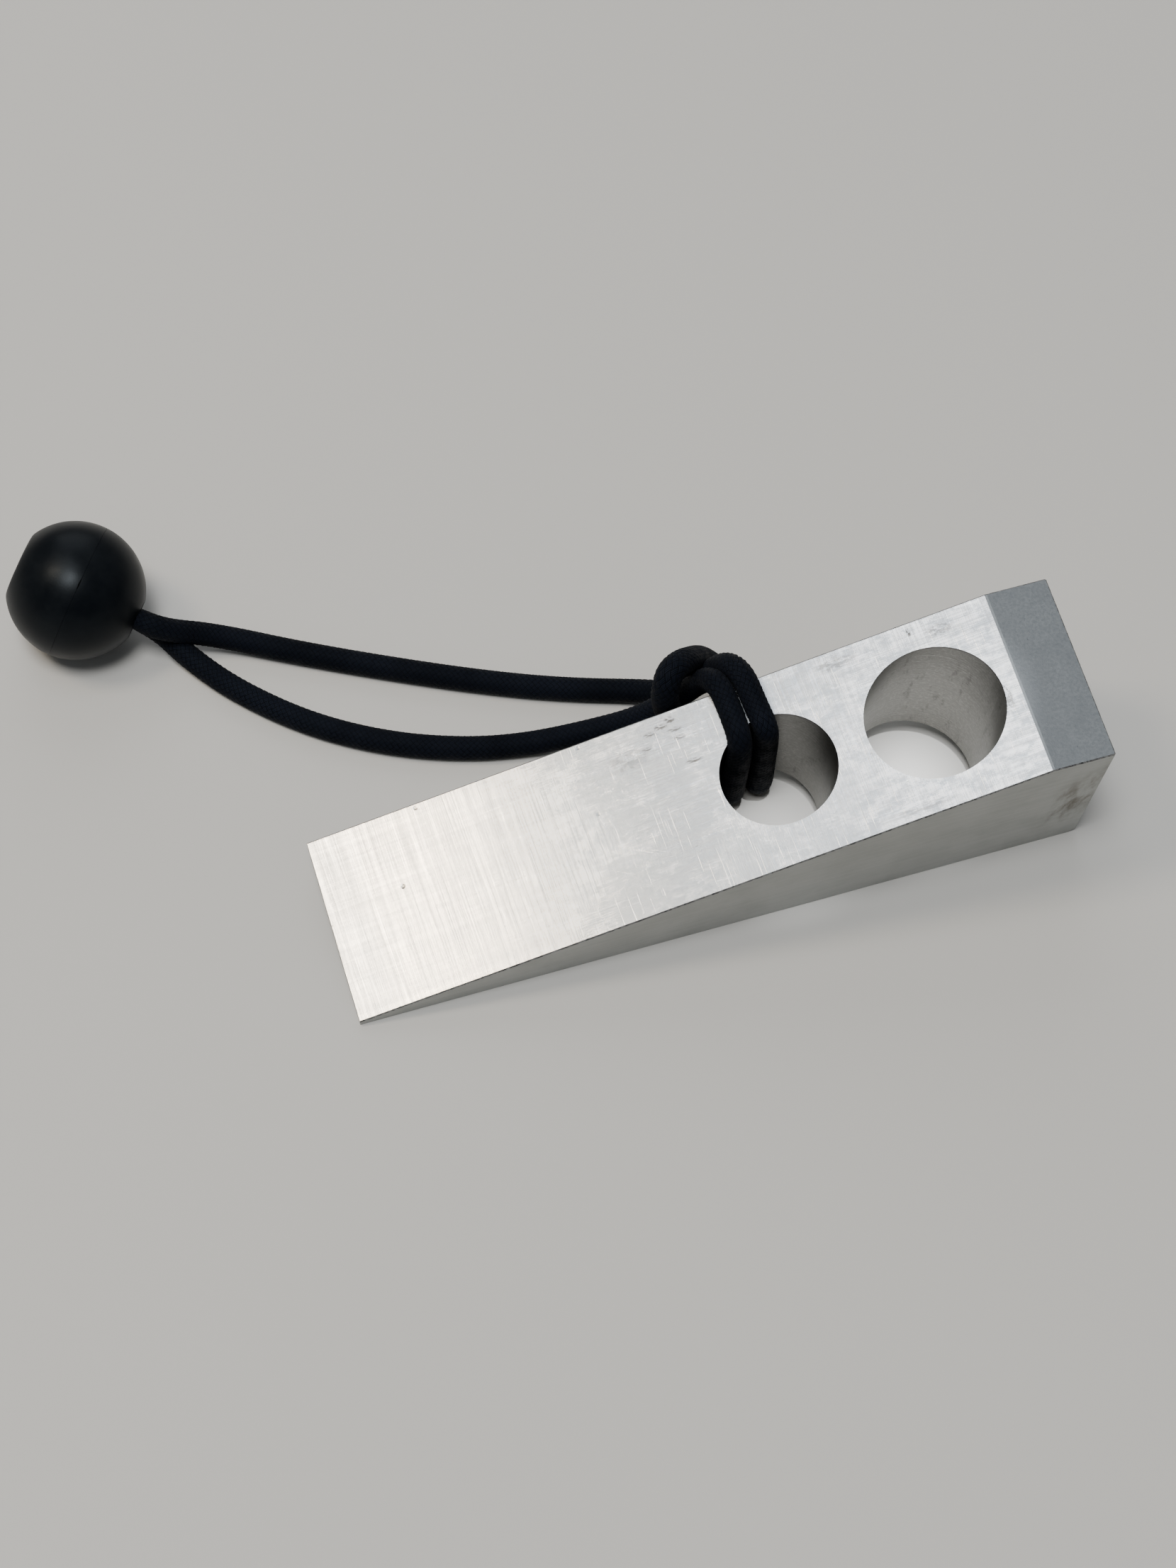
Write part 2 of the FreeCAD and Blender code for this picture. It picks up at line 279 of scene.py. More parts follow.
# ------------------------------------------------------------------ shared effects
class Effects:
    """Shared effects, each built once as a node group and placed in several materials."""

    def __init__(self) -> None:
        """Build every group."""
        self.brushing = self._brushing()
        self.pits = self._pits()
        self.smudge = self._smudge()
        self.braid = self._braid()

    @staticmethod
    def place(bench: NodeBench, group: bpy.types.NodeTree, **inputs: object) -> bpy.types.Node:
        """Put a group in a material.

        Args:
            bench: the material's bench.
            group: the shared effect.
            **inputs: its inputs, with _ for a space.

        Returns:
            The group's node.
        """
        node = bench.tree.nodes.new("ShaderNodeGroup")
        node.node_tree = group
        for key, value in inputs.items():
            bench.feed(node.inputs[key.replace("_", " ")], value)
        return node

    @staticmethod
    def _brushing() -> bpy.types.NodeTree:
        """Fine lines along local X, in three widths, some of them standing out.

        Returns:
            The group's tree.
        """
        bench, given, out = new_group(
            "brushing",
            [GroupSocket("Vector", "NodeSocketVector"), GroupSocket("Fineness", start=1.0),
             GroupSocket("Seed", start=0.0)],
            [GroupSocket("Lines"), GroupSocket("Scratches")])
        shift = bench.add("CombineXYZ", X=given.outputs["Seed"], Y=given.outputs["Seed"])
        moved = bench.add("VectorMath", {"operation": "ADD"}, i0=given.outputs["Vector"], i1=shift)
        scaled = bench.add("VectorMath", {"operation": "SCALE"}, i0=moved,
                           Scale=given.outputs["Fineness"])
        fine = bench.noise(bench.stretched(scaled, (0.035, 5.0, 1.0)), 1.0, 4.0, 0.65)
        broad = bench.noise(bench.stretched(scaled, (0.012, 0.9, 1.0)), 1.0, 3.0, 0.6)
        both = bench.blend(0.38, fine, broad)
        bench.feed(out.inputs["Lines"], bench.span(both, 0.33, 0.67))
        deep = bench.noise(bench.stretched(scaled, (0.05, 2.6, 1.0)), 1.0, 2.0, 0.5)
        bench.feed(out.inputs["Scratches"], bench.span(deep, 0.66, 0.74))
        return bench.tree

    @staticmethod
    def _pits() -> bpy.types.NodeTree:
        """Small scattered pits.

        Returns:
            The group's tree.
        """
        bench, given, out = new_group(
            "pits",
            [GroupSocket("Vector", "NodeSocketVector"), GroupSocket("Scale", start=1.0),
             GroupSocket("Amount", start=0.3)],
            [GroupSocket("Mask")])
        cells = bench.add("TexVoronoi", {"feature": "F1"}, Vector=given.outputs["Vector"],
                          Scale=given.outputs["Scale"])
        spot = bench.span(cells.outputs["Distance"], 0.05, 0.16, 1.0, 0.0)
        chosen = bench.math("GREATER_THAN", given.outputs["Amount"], cells.outputs["Color"])
        bench.feed(out.inputs["Mask"], bench.math("MULTIPLY", spot, chosen))
        return bench.tree

    @staticmethod
    def _smudge() -> bpy.types.NodeTree:
        """A ragged soft patch round the origin of its vector, about one unit across.

        Returns:
            The group's tree.
        """
        bench, given, out = new_group(
            "smudge",
            [GroupSocket("Vector", "NodeSocketVector"), GroupSocket("Grain", start=6.0)],
            [GroupSocket("Mask")])
        distance = bench.add("VectorMath", {"operation": "LENGTH"}, i0=given.outputs["Vector"])
        near = bench.span(distance.outputs["Value"], 0.45, 1.0, 1.0, 0.0)
        ragged = bench.add("TexNoise", Vector=given.outputs["Vector"],
                           Scale=given.outputs["Grain"], Detail=5.0, Roughness=0.7)
        torn = bench.span(ragged.outputs[0], 0.44, 0.56)
        bench.feed(out.inputs["Mask"], bench.math("MULTIPLY", near, torn))
        return bench.tree

    @staticmethod
    def _braid() -> bpy.types.NodeTree:
        """Yarns of a braided sleeve: UV counts carriers round it and crossings along it.

        Returns:
            The group's tree.
        """
        bench, given, out = new_group(
            "braid_yarns",
            [GroupSocket("UV", "NodeSocketVector"), GroupSocket("Yarns", start=4.0)],
            [GroupSocket("Height"), GroupSocket("Edge"), GroupSocket("Over")])
        parts = bench.add("SeparateXYZ", Vector=given.outputs["UV"])
        right = bench.math("ADD", parts.outputs[0], parts.outputs[1])
        left = bench.math("SUBTRACT", parts.outputs[0], parts.outputs[1])
        total = bench.math("ADD", bench.math("FLOOR", right), bench.math("FLOOR", left))
        over = bench.math("MODULO", bench.math("ABSOLUTE", total), 2.0)
        across = bench.blend(over, bench.math("FRACT", right), bench.math("FRACT", left))
        centred = bench.math("ABSOLUTE", bench.math("SUBTRACT", across, 0.5))
        bench.feed(out.inputs["Edge"], bench.span(centred, 0.3, 0.5))
        turns = bench.math("MULTIPLY", across, given.outputs["Yarns"])
        wave = bench.math("SINE", bench.math("MULTIPLY", turns, 2.0 * math.pi))
        bench.feed(out.inputs["Height"], bench.span(wave, -1.0, 1.0))
        bench.feed(out.inputs["Over"], over)
        return bench.tree


# ------------------------------------------------------------------ wedge block
@dataclass
class WedgeBlock:
    """The machined block, in its own axes: X from the tip, Y across, Z up from the base."""

    node: str = "wedge_block"
    ramp_slope: float = math.radians(15.24)
    tip: float = 1.5
    small_bore_radius: float = 11.1
    small_bore_from_tip: float = 87.7
    roll: float = field(init=False)
    origin: Vector = field(init=False)
    length: float = field(init=False)
    width: float = field(init=False)
    large_bore_radius: float = field(init=False)
    large_bore_from_tip: float = field(init=False)

    def __post_init__(self) -> None:
        """Read the block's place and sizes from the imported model."""
        mounts = {mount["name"]: mount for mount in frame["record"]["mounts"]}
        bore = mounts["large_bore"]
        low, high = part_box(self.node)
        axis = Vector(bore["axis"])
        self.roll = math.atan2(-axis.y, axis.z)
        self.length = (high.x - low.x) / MM
        self.width = (high.z - low.z) / MM / (math.cos(self.roll) + math.sin(self.roll))
        half = self.width / 2 * MM
        across = (low.y + high.y) / 2
        reach = (math.cos(self.roll) - math.sin(self.roll)) * half
        self.origin = Vector((low.x, across - reach + half * math.cos(self.roll),
                              half * math.sin(self.roll)))
        self.large_bore_radius = bore["dims"]["r_mm"]
        self.large_bore_from_tip = (bore["pos_m"][0] - low.x) / MM

    def dress(self, finish: "MachinedAluminium") -> None:
        """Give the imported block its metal.

        Args:
            finish: the metal.
        """
        block = frame["nodes"][self.node]
        block.data.materials.clear()
        block.data.materials.append(finish.material(self))
        LOG.info("wedge block: %.1f mm long, rolled %.1f degrees", self.length,
                 math.degrees(self.roll))


@dataclass(frozen=True)
class RampMark:
    """A smudge or a short dark nick on the ramp, with its place and size in millimetres."""

    along: float
    across: float
    length: float
    width: float
    grain: float
    strength: float


@dataclass(frozen=True)
class MetalPatterns:
    """The patterns that the block's faces share."""

    along: Socket
    up: Socket
    flat: bpy.types.Node
    hatch: Socket
    scratches: Socket
    side_lines: Socket
    rings: Socket
    streaks: Socket
    cloud: Socket
    mottle: Socket
    worn: Socket


@dataclass(frozen=True)
class MachinedAluminium:
    """Bare aluminium: sanded ramp, mill-finish strip and sides, drilled bores, edges worn bright or painted with
    dark shade lines.
    """

    effects: Effects
    # The ramp's colours along its length are a painted reflection: a warm highlight at the tip, cooler in the
    # middle, paler towards the heel.
    ramp_tip_highlight: Colour = (0.97, 0.92, 0.85)
    ramp_cool: Colour = (0.42, 0.45, 0.485)
    ramp_pale: Colour = (0.88, 0.89, 0.90)
    ramp_blotch: Colour = (0.36, 0.395, 0.43)
    ramp_groove: Colour = (0.30, 0.32, 0.34)
    ramp_scratch: Colour = (0.98, 0.98, 0.97)
    mill: Colour = (0.205, 0.228, 0.248)
    mill_light: Colour = (0.26, 0.285, 0.305)
    mill_dark: Colour = (0.18, 0.20, 0.22)
    side: Colour = (0.41, 0.42, 0.41)
    side_dark: Colour = (0.31, 0.32, 0.31)
    side_line: Colour = (0.53, 0.53, 0.52)
    bore: Colour = (0.165, 0.162, 0.150)
    bore_ring: Colour = (0.115, 0.113, 0.104)
    bore_streak: Colour = (0.04, 0.038, 0.034)
    bore_pale: Colour = (0.27, 0.265, 0.25)
    # Dirt in the pits and smudges, and also the painted shade under the bores' upper rims.
    grime_and_rim_shade: Colour = (0.055, 0.05, 0.045)
    stain: Colour = (0.17, 0.15, 0.12)
    # edge is a painted dark shade line on the chamfers; edge_bright is worn metal.
    edge: Colour = (0.10, 0.10, 0.105)
    edge_bright: Colour = (0.45, 0.455, 0.46)
    marks: tuple[RampMark, ...] = (
        RampMark(71.7, 17.1, 1.3, 0.9, 1.2, 0.9),
        RampMark(69.7, 16.3, 1.6, 0.7, 1.5, 0.85),
        RampMark(67.3, 15.6, 1.4, 0.6, 1.4, 0.8),
        RampMark(72.1, 14.9, 1.7, 0.6, 1.3, 0.8),
        RampMark(72.5, 13.0, 1.4, 0.7, 1.6, 0.7),
        RampMark(66.0, 12.9, 1.2, 0.5, 1.4, 0.85),
        RampMark(73.6, 7.6, 1.9, 0.6, 1.3, 0.95),
        RampMark(62.0, 12.0, 5.0, 3.0, 2.0, 0.35),
        RampMark(124.0, 15.5, 3.5, 1.8, 2.5, 0.55),
        RampMark(131.0, -2.0, 1.6, 4.5, 2.5, 0.6),
        RampMark(104.0, 16.2, 5.0, 1.6, 2.0, 0.5),
        RampMark(118.6, 17.0, 0.5, 1.3, 1.4, 0.9),
        RampMark(110.0, -17.0, 8.0, 1.2, 2.2, 0.4),
    )

    def material(self, block: WedgeBlock) -> bpy.types.Material:
        """Build the metal for the block.

        Args:
            block: the block, whose axes the pattern follows.

        Returns:
            The material.
        """
        made = bpy.data.materials.new("machined_aluminium")
        made.use_nodes = True
        bench = NodeBench(made.node_tree)
        here = self._block_axes(bench, block)
        parts = bench.add("SeparateXYZ", Vector=here)
        facing = self._facing(bench, block)
        on_ramp, on_strip, in_bore, on_edge = self._faces(bench, block, facing, parts)
        seen = self._patterns(bench, here, parts)
        stained = self._heel_stain(bench, block, seen.along, seen.up)

        colour = bench.mix(on_strip, self._side_colour(bench, seen, stained),
                           self._strip_colour(bench, seen))
        colour = bench.mix(on_ramp, colour, self._ramp_colour(bench, seen))
        colour = bench.mix(in_bore, colour, self._bore_colour(bench, seen, block))
        # The chamfered edges: painted dark shade lines in places, worn bright metal in others.
        edge = bench.mix(bench.span(seen.mottle, 0.35, 0.65), self.edge, self.edge_bright)
        colour = bench.mix(on_edge, colour, edge)
        colour = bench.mix(bench.math("MULTIPLY", seen.worn, 0.7), colour, self.grime_and_rim_shade)

        rough = bench.blend(on_ramp, 0.52, bench.span(seen.hatch, 0.0, 1.0, 0.28, 0.15))
        rough = bench.blend(on_strip, rough, bench.span(seen.mottle, 0.3, 0.7, 0.50, 0.60))
        rough = bench.blend(in_bore, rough, bench.span(seen.rings, 0.3, 0.7, 0.42, 0.30))
        rough = bench.math("ADD", rough, bench.math("MULTIPLY", stained, 0.2))

        scored = bench.math("ADD", seen.hatch, bench.math("MULTIPLY", seen.scratches, -0.8))
        relief = bench.blend(on_ramp, seen.side_lines, scored)
        relief = bench.blend(in_bore, relief, bench.math("MULTIPLY", seen.rings, 7.0))
        relief = bench.blend(on_strip, relief, bench.math("MULTIPLY", seen.mottle, 4.5))
        relief = bench.math("SUBTRACT", relief, bench.math("MULTIPLY", seen.worn, 9.0))
        bump = bench.add("Bump", Strength=0.55, Distance=0.000011, Height=relief)

        metal = bench.add("BsdfPrincipled", Base_Color=colour, Roughness=rough, Normal=bump)
        metal.inputs["Metallic"].default_value = 1.0
        bench.add("OutputMaterial", Surface=metal)
        return made

    def _patterns(self, bench: NodeBench, here: Socket, parts: bpy.types.Node) -> MetalPatterns:
        """Lay out the brushing, the marks of the drill, the clouding and the wear.

        Args:
            bench: the material's bench.
            here: place on the block.
            parts: the same place, split along the block's axes.

        Returns:
            The patterns.
        """
        place = self.effects.place
        along, across, up = parts.outputs
        flat = bench.add("CombineXYZ", X=along, Y=across)
        lengthwise = place(bench, self.effects.brushing, Vector=flat, Fineness=1.0, Seed=3.0)
        crosswise = place(bench, self.effects.brushing, Fineness=1.5, Seed=41.0,
                          Vector=bench.stretched(flat, (1.0, 1.0, 1.0), 88.0))
        tilted = place(bench, self.effects.brushing, Fineness=1.3, Seed=77.0,
                       Vector=bench.stretched(flat, (1.0, 1.0, 1.0), 31.0))
        side_lines = place(bench, self.effects.brushing, Fineness=0.7, Seed=9.0,
                           Vector=bench.add("CombineXYZ", X=along, Y=up))
        patch = bench.math("MAXIMUM", bench.span(bench.noise(flat, 0.035, 2.0), 0.40, 0.62),
                           bench.span(along, 30.0, 52.0, 0.9, 0.0))
        wall = bench.add("CombineXYZ", X=across, Y=up, Z=along)
        cloud = bench.noise(here, 0.12, 4.0, 0.6)
        pits = place(bench, self.effects.pits, Vector=here, Scale=0.28, Amount=0.16)
        specks = place(bench, self.effects.pits, Vector=here, Scale=0.9, Amount=0.10)
        holes = bench.math("MAXIMUM", pits.outputs[0],
                           bench.math("MULTIPLY", specks.outputs[0], 0.6))
        return MetalPatterns(
            along=along,
            up=up,
            flat=flat,
            hatch=bench.blend(bench.span(patch, 0.0, 1.0, 0.30, 0.72),
                              lengthwise.outputs["Lines"], crosswise.outputs["Lines"]),
            scratches=bench.math("MAXIMUM", crosswise.outputs["Scratches"],
                                 bench.math("MULTIPLY", tilted.outputs["Scratches"], 0.35)),
            side_lines=side_lines.outputs[0],
            rings=bench.noise(bench.stretched(wall, (0.10, 2.2, 0.10)), 1.0, 4.0, 0.6),
            streaks=bench.noise(bench.stretched(wall, (0.5, 0.12, 0.5)), 1.0, 4.0, 0.65),
            cloud=cloud,
            mottle=bench.noise(here, 1.6, 4.0, 0.7),
            worn=bench.math("MULTIPLY", holes, bench.span(cloud, 0.35, 0.6, 0.2, 0.8)),
        )

    def _ramp_colour(self, bench: NodeBench, seen: MetalPatterns) -> Socket:
        """The sanded ramp: painted reflection makes it warm and bright at the tip, cooler towards the heel; it is
        blotched towards the heel.

        Args:
            bench: the material's bench.
            seen: the shared patterns.

        Returns:
            The ramp's colour.
        """
        # Painted reflection along the ramp: a warm highlight at the tip, a darker cool middle, a paler band
        # towards the heel, plus random paler patches of tone.
        tip_highlight_share = bench.math("MULTIPLY", bench.span(seen.along, 16.0, 54.0, 1.0, 0.0),
                                bench.span(seen.along, 4.0, 13.0, 0.45, 1.0))
        cool = bench.mix(bench.span(seen.along, 90.0, 112.0), self.ramp_cool, self.ramp_pale)
        wide = bench.noise(bench.stretched(seen.flat, (0.7, 1.0, 1.0)), 0.16, 5.0, 0.75)
        cool = bench.mix(bench.span(wide, 0.48, 0.60, 0.0, 0.50), cool, self.ramp_pale)
        ramp = bench.mix(tip_highlight_share, cool, self.ramp_tip_highlight)
        small = bench.noise(bench.stretched(seen.flat, (0.6, 1.0, 1.0)), 0.42, 5.0, 0.72)
        blotch = bench.math("MULTIPLY", bench.span(small, 0.40, 0.62),
                            bench.span(seen.along, 42.0, 62.0, 0.25, 0.92))
        ramp = bench.mix(blotch, ramp, self.ramp_blotch)
        groove = bench.math("MULTIPLY", bench.span(seen.hatch, 0.0, 1.0, 1.0, 0.0),
                            bench.span(seen.along, 20.0, 70.0, 0.74, 0.84))
        ramp = bench.mix(groove, ramp, self.ramp_groove)
        ramp = bench.mix(bench.math("MULTIPLY", seen.scratches, 0.5), ramp, self.ramp_scratch)
        for mark in self.marks:
            spot = bench.add("Mapping", {"vector_type": "TEXTURE"}, Vector=seen.flat)
            spot.inputs["Location"].default_value = (mark.along, mark.across, 0.0)
            spot.inputs["Scale"].default_value = (mark.length, mark.width, 1.0)
            smudge = self.effects.place(bench, self.effects.smudge, Vector=spot, Grain=mark.grain)
            share = bench.math("MULTIPLY", smudge.outputs[0], mark.strength)
            ramp = bench.mix(share, ramp, self.grime_and_rim_shade)
        return ramp

    def _strip_colour(self, bench: NodeBench, seen: MetalPatterns) -> Socket:
        """The level strip at the heel, with its dull mill finish.

        Args:
            bench: the material's bench.
            seen: the shared patterns.

        Returns:
            The strip's colour.
        """
        strip = bench.mix(bench.span(seen.mottle, 0.35, 0.7), self.mill, self.mill_light)
        return bench.mix(bench.span(seen.cloud, 0.35, 0.65, 0.0, 0.45), strip, self.mill_dark)

    def _side_colour(self, bench: NodeBench, seen: MetalPatterns, stained: Socket) -> Socket:
        """The upright sides, clouded and finely lined, with the smear near the heel.

        Args:
            bench: the material's bench.
            seen: the shared patterns.
            stained: where the smear is.

        Returns:
            The sides' colour.
        """
        side = bench.mix(bench.span(seen.cloud, 0.3, 0.7, 0.0, 0.5), self.side, self.side_dark)
        lined = bench.span(seen.side_lines, 0.2, 0.9, 0.0, 0.25)
        return bench.mix(stained, bench.mix(lined, side, self.side_line), self.stain)

    def _bore_colour(self, bench: NodeBench, seen: MetalPatterns, block: WedgeBlock) -> Socket:
        """The bores' walls, ringed by the drill, streaked, and with a band of painted shade along the upper rim.

        Args:
            bench: the material's bench.
            seen: the shared patterns.
            block: the block, whose ramp the rim follows.

        Returns:
            The walls' colour.
        """
        bore = bench.mix(bench.span(seen.rings, 0.3, 0.7), self.bore, self.bore_ring)
        bore = bench.mix(bench.span(seen.streaks, 0.55, 0.72, 0.0, 0.6), bore, self.bore_streak)
        bore = bench.mix(bench.span(seen.mottle, 0.45, 0.65, 0.0, 0.35), bore, self.bore_pale)
        # Painted shade: a dark band just below the ramp's surface, round each bore's upper rim.
        ramp_height = bench.math(
            "ADD", bench.math("MULTIPLY", seen.along, math.tan(block.ramp_slope)), block.tip)
        under_ramp = bench.math("SUBTRACT", ramp_height, seen.up)
        return bench.mix(bench.span(under_ramp, 0.25, 0.7, 0.85, 0.0), bore, self.grime_and_rim_shade)

    @staticmethod
    def _block_axes(bench: NodeBench, block: WedgeBlock) -> bpy.types.NodeSocket:
        """Place on the block in millimetres, in the block's own axes.

        Args:
            bench: the material's bench.
            block: the block.

        Returns:
            The place.
        """
        given = bench.add("TexCoord")
        turned = bench.add("Mapping", {"vector_type": "TEXTURE"}, Vector=given.outputs["Object"])
        turned.inputs["Location"].default_value = block.origin
        turned.inputs["Rotation"].default_value = (block.roll, 0.0, 0.0)
        turned.inputs["Scale"].default_value = (MM, MM, MM)
        return turned.outputs[0]

    @staticmethod
    def _facing(bench: NodeBench, block: WedgeBlock) -> bpy.types.Node:
        """The surface's own normal, in the block's axes, apart from any bump.

        Args:
            bench: the material's bench.
            block: the block.

        Returns:
            The normal, split along the axes.
        """
        normal = bench.add("NewGeometry").outputs["True Normal"]
        turned = bench.add("VectorRotate", {"rotation_type": "X_AXIS"}, Vector=normal,
                           Angle=-block.roll)
        return bench.add("SeparateXYZ", Vector=turned)

    @staticmethod
    def _faces(bench: NodeBench, block: WedgeBlock, facing: bpy.types.Node,
               parts: bpy.types.Node) -> tuple[bpy.types.NodeSocket, ...]:
        """Masks of the ramp, the heel strip, the bores and the broken edges.

        Args:
            bench: the material's bench.
            block: the block.
            facing: the surface's normal, split along the block's axes.
            parts: place on the block, split along the same axes.

        Returns:
            The four masks.
        """
        towards_x, towards_y, towards_z = facing.outputs
        along, across = parts.outputs[0], parts.outputs[1]
        ramp_rise = math.cos(block.ramp_slope)
        on_ramp = bench.math("LESS_THAN", bench.math(
            "ABSOLUTE", bench.math("SUBTRACT", towards_z, ramp_rise)), 0.012)
        on_strip = bench.math("GREATER_THAN", towards_z, 0.99)
        level = bench.math("ABSOLUTE", towards_z)
        square = bench.math("MAXIMUM", bench.math("ABSOLUTE", towards_x),
                            bench.math("MAXIMUM", bench.math("ABSOLUTE", towards_y), level))
        inside = None
        for centre, radius in ((block.large_bore_from_tip, block.large_bore_radius),
                               (block.small_bore_from_tip, block.small_bore_radius)):
            offset = bench.math("SUBTRACT", along, centre)
            span = bench.math("ADD", bench.math("MULTIPLY", offset, offset),
                              bench.math("MULTIPLY", across, across))
            within = bench.math("LESS_THAN", span, (radius + 0.05) ** 2)
            inside = within if inside is None else bench.math("MAXIMUM", inside, within)
        in_bore = bench.math("MULTIPLY", inside, bench.math("LESS_THAN", level, 0.5))
        not_square = bench.math("LESS_THAN", square, 0.99)
        on_edge = bench.math("MULTIPLY", not_square, bench.math("SUBTRACT", 1.0, on_ramp))
        on_edge = bench.math("MULTIPLY", on_edge, bench.math("SUBTRACT", 1.0, in_bore))
        return on_ramp, on_strip, in_bore, on_edge

    @staticmethod
    def _heel_stain(bench: NodeBench, block: WedgeBlock, along: object,
                    up: object) -> bpy.types.NodeSocket:
        """A brown smear on the sides near the heel.

        Args:
            bench: the material's bench.
            block: the block.
            along: place along the block.
            up: height above its base.

        Returns:
            The smear's mask.
        """
        spot = bench.add("Mapping", {"vector_type": "TEXTURE"},
                         Vector=bench.add("CombineXYZ", X=along, Y=up))
        spot.inputs["Location"].default_value = (block.length - 4.0, 20.0, 0.0)
        spot.inputs["Rotation"].default_value = (0.0, 0.0, math.radians(-12.0))
        spot.inputs["Scale"].default_value = (8.0, 20.0, 1.0)
        distance = bench.add("VectorMath", {"operation": "LENGTH"}, i0=spot)
        near = bench.span(distance.outputs["Value"], 0.1, 1.0, 1.0, 0.0)
        torn = bench.span(bench.noise(spot.outputs[0], 2.2, 5.0, 0.65), 0.40, 0.68)
        return bench.math("MULTIPLY", bench.math("MULTIPLY", near, torn), 0.8)


# ------------------------------------------------------------------ cord
class Lay(Enum):
    """How a length of sleeve is drawn: along the whole lanyard, or as the knot's turns."""

    LANYARD = "lanyard"
    KNOT = "knot"


@dataclass(frozen=True)
class BraidedSleeve:
    """Black braided polyester sleeve over a rubber core."""

    effects: Effects
    yarn: Colour = (0.0014, 0.0018, 0.0030)
    # sheen_yarn is a painted bluish highlight on the yarns' tops; gap is painted shade between the yarns.
    sheen_yarn: Colour = (0.0125, 0.0165, 0.0280)
    gap: Colour = (0.0008, 0.0008, 0.0012)
    yarns: float = 4.0

    def material(self) -> bpy.types.Material:
        """Build the sleeve's material, which follows the piece's UV map.

        Returns:
            The material.
        """
        made = bpy.data.materials.new("braided_sleeve")
        made.use_nodes = True
        bench = NodeBench(made.node_tree)
        given = bench.add("TexCoord")
        braid = self.effects.place(bench, self.effects.braid, UV=given.outputs["UV"],
                                   Yarns=self.yarns)
        fluff = bench.noise(given.outputs["Object"], 900.0, 3.0, 0.6)
        sheen_strength = bench.noise(given.outputs["Object"], 60.0, 2.0, 0.5)
        # Painted highlight on the yarns' tops, uneven along the sleeve, and painted shade in the gaps between
        # yarns.
        colour = bench.mix(bench.math("MULTIPLY", braid.outputs["Height"],
                                      bench.span(sheen_strength, 0.3, 0.7, 0.35, 0.9)),
                           self.yarn, self.sheen_yarn)
        colour = bench.mix(braid.outputs["Edge"], colour, self.gap)
        rough = bench.span(fluff, 0.3, 0.7, 0.50, 0.66)
        relief = bench.math("ADD", braid.outputs["Height"], bench.math("MULTIPLY", fluff, 0.6))
        bump = bench.add("Bump", Strength=0.8, Distance=0.00008, Height=relief)
        cloth = bench.add("BsdfPrincipled", Base_Color=colour, Roughness=rough, Normal=bump)
        cloth.inputs["Sheen Weight"].default_value = 0.015
        cloth.inputs["Sheen Roughness"].default_value = 0.4
        cloth.inputs["Specular IOR Level"].default_value = 0.06
        cloth.inputs["Specular Tint"].default_value = (0.72, 0.84, 1.0, 1.0)
        bench.add("OutputMaterial", Surface=cloth)
        return made


@dataclass
class ShockCord:
    """The lanyard's one cord, both ends knotted in the ball, hitched round the wedge's web.

    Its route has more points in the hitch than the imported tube's route, and most of the others
    lie a little to one side of that route's.
    """

    diameter: float = 4.8
    carriers: int = 12
    ring_step: float = 0.33
    around: int = 48
    relief: float = 0.28
    relief_level: float = 0.75
    knot_pull: float = 0.86
    declared_length: float = 0.495
    pinch: float = 0.84
    pinched_for: float = 14.0
    pinch_eases_over: float = 7.0
    bulge: float = 0.13
    bulges_for: float = 48.0
    bulge_eases_over: float = 12.0
    route: tuple[Point, ...] = (
        (-0.1061, 0.0917, 0.0135), (-0.0936, 0.0830, 0.0085), (-0.0885, 0.0799, 0.0053),
        (-0.0844, 0.0732, 0.0030), (-0.0769, 0.0628, 0.0024), (-0.0651, 0.0510, 0.0024),
        (-0.0514, 0.0421, 0.0024), (-0.0374, 0.0364, 0.0024), (-0.0254, 0.0338, 0.0024),
        (-0.0134, 0.0318, 0.0045), (-0.0029, 0.0288, 0.0096), (0.0040, 0.0261, 0.0186),
        (0.0074, 0.0228, 0.0280), (0.0084, 0.0180, 0.0330), (0.0089, 0.0115, 0.0317),
        (0.0090, 0.0067, 0.0302), (0.0095, 0.0069, 0.0240), (0.0098, 0.0092, 0.0082),
        (0.0100, 0.0110, 0.0021), (0.0104, 0.0160, 0.0026), (0.0091, 0.0249, 0.0040),
        (0.0056, 0.0241, 0.0095), (0.0014, 0.0230, 0.0164), (-0.0008, 0.0217, 0.0243),
        (-0.0010, 0.0216, 0.0296), (0.0002, 0.0230, 0.0327), (0.0030, 0.0252, 0.0316),
        (0.0063, 0.0277, 0.0278), (0.0102, 0.0323, 0.0201), (0.0142, 0.0338, 0.0127),
        (0.0176, 0.0304, 0.0069),
        (0.0184, 0.0251, 0.0040), (0.0172, 0.0162, 0.0026), (0.0161, 0.0117, 0.0021),
        (0.0159, 0.0103, 0.0083), (0.0152, 0.0078, 0.0241), (0.0143, 0.0069, 0.0312),
        (0.0136, 0.0113, 0.0329), (0.0131, 0.0175, 0.0346), (0.0118, 0.0222, 0.0324),
        (0.0100, 0.0258, 0.0252), (0.0079, 0.0298, 0.0150), (0.0061, 0.0338, 0.0072),
        (0.0011, 0.0390, 0.0027), (-0.0109, 0.0431, 0.0024), (-0.0234, 0.0481, 0.0024),
        (-0.0394, 0.0558, 0.0024), (-0.0611, 0.0674, 0.0024), (-0.0784, 0.0772, 0.0034),
        (-0.0888, 0.0767, 0.0101), (-0.0939, 0.0804, 0.0122), (-0.1063, 0.0893, 0.0170),
    )

    def build(self) -> tuple[bpy.types.Object, list[Point]]:
        """Braid the sleeve along the route.

        Returns:
            The sleeve, and the points of its centre line.
        """
        line = nurbs_line(self.route, "cord_line")
        sleeve = braided_tube("shock_cord", line, self, Lay.LANYARD)
        length = float(np.linalg.norm(np.diff(line, axis=0), axis=1).sum())
        LOG.info("cord: %.1f mm long, %d faces", length / MM, len(sleeve.data.polygons))
        return sleeve, [tuple(point) for point in line.tolist()]


